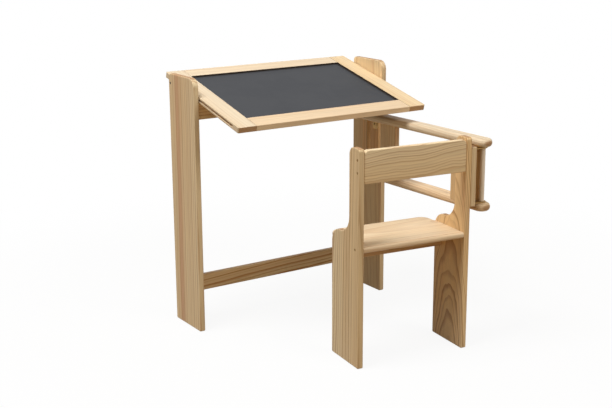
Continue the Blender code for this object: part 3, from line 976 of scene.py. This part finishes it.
for node, (start, end), seed, pale, honey in (
    # Pale back post: painted light. Dark front post: painted shade.
    ("arm_back_post", BACK_POST, 13.0, "#F7E4C6", "#EFD5AC"),
    ("arm_front_post", FRONT_POST, 14.0, "#D4AB73", "#CDA064"),
):
    low = (-POST_HALF_T, -end, ARM_LOWER_TOP + JOINT_GAP)
    high = (POST_HALF_T, -start, ARM_UPPER_Z - JOINT_GAP)
    post = plank(node + "_board", low, high)
    ease(post, ARRIS_R)
    set_in(post, ARM)
    post_pine = pine(
        "lacquered_pine_" + node,
        middle_of(low, high),
        along="Z",
        face="X",
        pith=(0.05, 0.03),
        lean=(0.02, 0.02),
        ring=0.007,
        seed=seed,
        place=ARM,
        pale=pale,
        honey=honey,
        lines=0.4,
    )
    fit(post, post_pine, "swing_arm", "pine", node)

# Pivot dowels: two turned rods glued into both boards, one at the back end of the arm and one at its
# front end, the back one coloured darker as painted shade and the front one paler as painted light. The steel
# angles on the desk and on the chair turn about them.
DOWEL_ARRIS_R = 0.0008

back_dowel = rod("arm_back_dowel_rod", DOWEL_R, (0, 0, dowel_low), (0, 0, dowel_high))
ease(back_dowel, DOWEL_ARRIS_R, 2)
front_dowel = copy_of(back_dowel, "arm_front_dowel_rod", (0, -ARM_LENGTH, 0))
for node, dowel, y, seed, pale, honey in (
    # Darker back dowel: painted shade. Paler front dowel: painted light.
    ("arm_back_dowel", back_dowel, 0.0, 15.0, "#DDB986", "#CEA472"),
    ("arm_front_dowel", front_dowel, -ARM_LENGTH, 16.0, "#FBEEDA", "#F6E3C6"),
):
    set_in(dowel, ARM)
    dowel_pine = pine(
        "turned_pine_" + node,
        (0, y, (dowel_low + dowel_high) / 2),
        along="Z",
        face="X",
        pith=(0.03, 0.04),
        lean=(0.0, 0.0),
        ring=0.005,
        seed=seed,
        place=ARM,
        pale=pale,
        honey=honey,
        lines=0.25,
        heart=0.1,
    )
    fit(dowel, dowel_pine, "swing_arm", "pine", node)

# Chair sides: two planks sawn to one shape, wide up to a round shoulder beside the seat, then swept in
# to a narrow neck that carries the backrest. Screws go through them into the seat and the backrest.
CHAIR_AT = (-0.115956, -0.312177, 0)
CHAIR_TURN = math.radians(-7.0)
CHAIR = Matrix.Translation(CHAIR_AT) @ Matrix.Rotation(CHAIR_TURN, 4, "Z")
CHAIR_W = 0.3365
CHAIR_D = 0.145
CHAIR_H = 0.584
SIDE_T = 0.016
SHOULDER_Z = 0.353
SHOULDER_R = 0.040
NECK_D = 0.0517
NECK_R = 0.049
NECK_FRONT_R = 0.020
NECK_REAR_R = 0.009
HEAD_R = 0.0033
HEAD_H = 0.0022
SCREW_R = 0.002
SCREW_L = 0.034
SHANK_SIDES = 16
BORE_GAP = 0.0003
SCREWS = {
    "seat_screw": (0.019, 0.320),
    "backrest_screw_1": (0.009, 0.555),
    "backrest_screw_2": (0.009, 0.522),
}

side = plank("chair_side_left", (0, 0, 0), (SIDE_T, CHAIR_D, SHOULDER_Z))
only(side)
bpy.ops.object.mode_set(mode="EDIT")
bpy.ops.mesh.select_all(action="SELECT")
bpy.ops.mesh.bisect(plane_co=(0, NECK_D, 0), plane_no=(0, 1, 0))
bpy.ops.mesh.select_mode(type="FACE")
bpy.ops.mesh.select_all(action="DESELECT")
shape = bmesh.from_edit_mesh(side.data)
for patch in shape.faces:
    if patch.normal.z > ALIGNED and patch.calc_center_median().y < NECK_D:
        patch.select_set(True)
bmesh.update_edit_mesh(side.data)
bpy.ops.mesh.extrude_region_move(TRANSFORM_OT_translate={"value": (0, 0, CHAIR_H - SHOULDER_Z)})
bpy.ops.mesh.select_all(action="SELECT")
bpy.ops.mesh.dissolve_limited(angle_limit=FLAT_UNDER)
bpy.ops.object.mode_set(mode="OBJECT")
for y, z, radius, steps in (
    (CHAIR_D, SHOULDER_Z, SHOULDER_R, 16),
    (NECK_D, SHOULDER_Z, NECK_R, 16),
    (NECK_D, CHAIR_H, NECK_FRONT_R, 12),
    (0.0, CHAIR_H, NECK_REAR_R, 8),
    (CHAIR_D, 0.0, FOOT_R, 4),
    (0.0, 0.0, FOOT_R, 4),
):
    round_edges(side, radius, steps, lambda m, d: abs(d.x) > ALIGNED and near(m.y, y) and near(m.z, z))
ease(side, ARRIS_R)
far_side = copy_of(side, "chair_side_right", (CHAIR_W - SIDE_T, 0, 0))
for board, face_x, inward in ((side, 0.0, 1), (far_side, CHAIR_W, -1)):
    for y, z in SCREWS.values():
        outside = (face_x - inward * BORE_OVERRUN, y, z)
        under_head = (face_x + inward * (HEAD_H + 2 * BORE_GAP), y, z)
        join_or_cut(board, rod("bore", HEAD_R + BORE_GAP, outside, under_head))
        through = (face_x + inward * (SIDE_T + BORE_OVERRUN), y, z)
        join_or_cut(board, rod("bore", SCREW_R + BORE_GAP, outside, through))
    set_in(board, CHAIR)
side_pine = pine(
    "lacquered_pine_chair_side_left",
    (SIDE_T / 2, CHAIR_D / 2, CHAIR_H / 2),
    along="Z",
    face="X",
    pith=(-0.085, 0.05),
    lean=(0.01, -0.02),
    ring=0.0075,
    seed=17.0,
    place=CHAIR,
    pale="#EED9B2",
    honey="#E3C597",
    late="#9E6A34",
    lines=0.8,
    sway=0.006,
)
fit(side, side_pine, "chair", "pine", "chair_left_panel")
far_pine = pine(
    "lacquered_pine_chair_side_right",
    (CHAIR_W - SIDE_T / 2, CHAIR_D / 2, CHAIR_H / 2),
    along="Z",
    face="X",
    pith=(0.005, -0.115),
    lean=(0.0, -0.12),
    ring=0.0062,
    seed=18.0,
    place=CHAIR,
    pale="#F8DFB4",
    honey="#F0CC97",
    late="#9A6330",
    lines=0.72,
    sway=0.011,
    waves=6.0,
)
fit(far_side, far_pine, "chair", "pine", "chair_right_panel")

# Seat: one wide pine board held between the sides, its front overhanging them with rounded corners
# and a half-round nose. Its rear edge is rounded in the same way.
SEAT_LOW = 0.312
SEAT_TOP = 0.328
SEAT_REAR = 0.001
SEAT_FRONT = 0.195
SEAT_CORNER_R = 0.030
SEAT_NOSE_R = 0.0065
SEAT_ARRIS_R = 0.0006
INNER_X = SIDE_T + BORE_GAP


def bore_for_screws(piece, word):
    """Bores a board's two ends for the shanks of its screws."""
    for name, (y, z) in SCREWS.items():
        if name.startswith(word):
            for face_x, inward in ((0.0, 1), (CHAIR_W, -1)):
                tip = face_x + inward * (SCREW_L + 3 * SCREW_R)
                bore = rod("bore", SCREW_R + BORE_GAP, (face_x, y, z), (tip, y, z), SHANK_SIDES)
                join_or_cut(piece, bore)


seat = plank("chair_seat_board", (INNER_X, SEAT_REAR, SEAT_LOW), (CHAIR_W - INNER_X, SEAT_FRONT, SEAT_TOP))
round_edges(seat, SEAT_CORNER_R, 14, lambda m, d: abs(d.z) > ALIGNED and near(m.y, SEAT_FRONT))
only(seat)
bpy.ops.object.mode_set(mode="EDIT")
bpy.ops.mesh.select_all(action="SELECT")
bpy.ops.mesh.bisect(plane_co=(0, CHAIR_D, 0), plane_no=(0, 1, 0))
bpy.ops.object.mode_set(mode="OBJECT")
round_edges(
    seat,
    SEAT_NOSE_R,
    6,
    lambda m, d: abs(d.z) < 1 - ALIGNED
    and (near(m.z, SEAT_LOW) or near(m.z, SEAT_TOP))
    and (m.y > CHAIR_D + HAIR or near(m.y, SEAT_REAR)),
)
ease(seat, SEAT_ARRIS_R, 2)
bore_for_screws(seat, "seat")
set_in(seat, CHAIR)
seat_pine = pine(
    "lacquered_pine_seat",
    (CHAIR_W / 2, SEAT_FRONT / 2, SEAT_TOP),
    along="X",
    face="Z",
    pith=(0.03, -0.06),
    lean=(0.02, 0.04),
    ring=0.008,
    seed=19.0,
    place=CHAIR,
    pale="#F6E0BE",
    honey="#EFD2A8",
    lines=0.35,
    heart=0.1,
)
fit(seat, seat_pine, "chair", "pine", "seat")

# Seat rail: a planed pine rail on edge under the seat, with eased arrises. It is glued to the seat and
# to both sides, set back from their front edges.
RAIL_REAR = 0.107
RAIL_FRONT = 0.123
RAIL_LOW = 0.2647
RAIL_TOP = 0.3117

rail_low = (INNER_X, RAIL_REAR, RAIL_LOW)
rail_high = (CHAIR_W - INNER_X, RAIL_FRONT, RAIL_TOP)
seat_rail = plank("chair_seat_rail", rail_low, rail_high)
ease(seat_rail, ARRIS_R)
set_in(seat_rail, CHAIR)
rail_pine = pine(
    "lacquered_pine_seat_rail",
    (CHAIR_W / 2, RAIL_FRONT, RAIL_LOW),
    along="X",
    face="Y",
    pith=(0.03, 0.04),
    lean=(0.02, 0.02),
    ring=0.008,
    seed=20.0,
    place=CHAIR,
)
fit(seat_rail, rail_pine, "chair", "pine", "seat_rail")

# Backrest: a pine board across the rear of the necks, upper corners rounded, held by two screws
# through each side.
BACK_REAR = 0.001
BACK_FRONT = 0.017
BACK_LOW = 0.493
BACK_TOP = 0.579
BACK_CORNER_R = 0.013

back_low = (INNER_X, BACK_REAR, BACK_LOW)
back_high = (CHAIR_W - INNER_X, BACK_FRONT, BACK_TOP)
backrest = plank("chair_backrest_board", back_low, back_high)
round_edges(backrest, BACK_CORNER_R, 8, lambda m, d: abs(d.y) > ALIGNED and near(m.z, BACK_TOP))
ease(backrest, ARRIS_R)
bore_for_screws(backrest, "backrest")
set_in(backrest, CHAIR)
back_pine = pine(
    "lacquered_pine_backrest",
    (CHAIR_W / 2, BACK_REAR, (BACK_LOW + BACK_TOP) / 2),
    along="X",
    face="Y",
    pith=(0.062, 0.04),
    lean=(-0.07, 0.02),
    ring=0.0060,
    seed=21.0,
    place=CHAIR,
    pale="#F4DDB5",
    honey="#EACB9A",
    lines=0.55,
    sway=0.008,
    heart=0.1,
    waves=9.0,
)
fit(backrest, back_pine, "chair", "pine", "backrest")

# Hinge plank: a pine board fixed flat to the outside of the chair's right neck. The chair's two steel
# angles are screwed to it and turn about the arm's front dowel.
PLANK_IN = CHAIR_W + JOINT_GAP
PLANK_OUT = PLANK_IN + SIDE_T
PLANK_D = 0.098
PLANK_LOW = 0.396
PLANK_TOP = 0.557
ANGLE_SCREW_Y = 0.0062
ANGLE_SCREW_Z = (0.41635, 0.53105)
ANGLE_SCREW_L = 0.0145
CHAIR_PIVOT_Y = 0.0257

hinge_plank = plank("chair_hinge_plank", (PLANK_IN, 0, PLANK_LOW), (PLANK_OUT, PLANK_D, PLANK_TOP))
ease(hinge_plank, ARRIS_R)
for y in (CHAIR_PIVOT_Y - ANGLE_SCREW_Y, CHAIR_PIVOT_Y + ANGLE_SCREW_Y):
    for z in ANGLE_SCREW_Z:
        bore_start = (PLANK_OUT + BORE_OVERRUN, y, z)
        bore_end = (PLANK_OUT - ANGLE_SCREW_L, y, z)
        join_or_cut(hinge_plank, rod("bore", SCREW_BORE_R, bore_start, bore_end, SHANK_SIDES))
set_in(hinge_plank, CHAIR)
plank_pine = pine(
    "lacquered_pine_hinge_plank",
    (PLANK_OUT, PLANK_D / 2, (PLANK_LOW + PLANK_TOP) / 2),
    along="Z",
    face="X",
    pith=(0.06, 0.03),
    lean=(0.02, 0.02),
    ring=0.007,
    seed=22.0,
    place=CHAIR,
    pale="#E8CFA7",
    honey="#DDBC8D",
    lines=0.3,
)
fit(hinge_plank, plank_pine, "chair", "pine", "hinge_plank")

# Chair screws: six steel wood screws with a cross recess, three through each side, their flat heads let
# in just under the surface of the wood.
RECESS_L = 0.0038
RECESS_W = 0.0010
RECESS_D = 0.0014
HEAD_ARRIS_R = 0.0003
POINT_SHARE = 0.1

screw = rod("chair_screw", HEAD_R, (0, 0, -HEAD_H), (0, 0, 0))
round_edges(screw, HEAD_ARRIS_R, 2, lambda m, d: near(m.z, 0.0))
only(screw)
bpy.ops.object.mode_set(mode="EDIT")
bpy.ops.mesh.select_mode(type="FACE")
bpy.ops.mesh.select_all(action="DESELECT")
shape = bmesh.from_edit_mesh(screw.data)
for patch in shape.faces:
    if patch.normal.z < -ALIGNED:
        patch.select_set(True)
bmesh.update_edit_mesh(screw.data)
bpy.ops.mesh.inset(thickness=HEAD_R - SCREW_R, depth=0)
bpy.ops.mesh.extrude_region_move(TRANSFORM_OT_translate={"value": (0, 0, HEAD_H - SCREW_L)})
bpy.ops.mesh.extrude_region_move(TRANSFORM_OT_translate={"value": (0, 0, -SCREW_R)})
bpy.ops.transform.resize(value=(POINT_SHARE, POINT_SHARE, 1.0))
bpy.ops.object.mode_set(mode="OBJECT")
for half_x, half_y in ((RECESS_L / 2, RECESS_W / 2), (RECESS_W / 2, RECESS_L / 2)):
    join_or_cut(screw, plank("recess", (-half_x, -half_y, -RECESS_D), (half_x, half_y, RECESS_D)))

# Zinc-plated and yellow-passivated: a dull straw-gold metal, close to the pine's own tone, with soft
# clouds of deeper gold drawn 12 mm wide.
gold_zinc, tree, shader = new_finish("yellow_passivated_zinc_on_steel")
spot = add_node(tree, "ShaderNodeTexCoord").outputs["Object"]
clouds = add_node(tree, "ShaderNodeTexNoise", {"Vector": spot, "Scale": 80.0, "Detail": 3.0})
tint = add_node(
    tree,
    "ShaderNodeMix",
    {0: clouds.outputs["Fac"], 6: linear("#92703F"), 7: linear("#A98755")},
    data_type="RGBA",
)
dull = add_node(
    tree, "ShaderNodeMapRange", {"Value": clouds.outputs["Fac"], "To Min": 0.45, "To Max": 0.62}
)
tree.links.new(tint.outputs[2], shader.inputs["Base Color"])
tree.links.new(dull.outputs[0], shader.inputs["Roughness"])
shader.inputs["Metallic"].default_value = 1.0

for name, (y, z) in SCREWS.items():
    for word, face_x, turn in (
        ("left", BORE_GAP, -math.pi / 2),
        ("right", CHAIR_W - BORE_GAP, math.pi / 2),
    ):
        twin = copy_of(screw, f"{name}_{word}_cross_head")
        set_in(twin, CHAIR @ Matrix.Translation((face_x, y, z)) @ Matrix.Rotation(turn, 4, "Y"))
        fit(twin, gold_zinc, "chair", "steel", f"{name}_{word}")
bpy.data.objects.remove(screw, do_unlink=True)

# Steel angles and their screws: pressed sheet, bent once, with an eye about the dowel, screwed to the
# wood. They keep their CAD shape.
for name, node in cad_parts.items():
    if "bracket" in name:
        for holder in node.material_slots:
            holder.material = gold_zinc
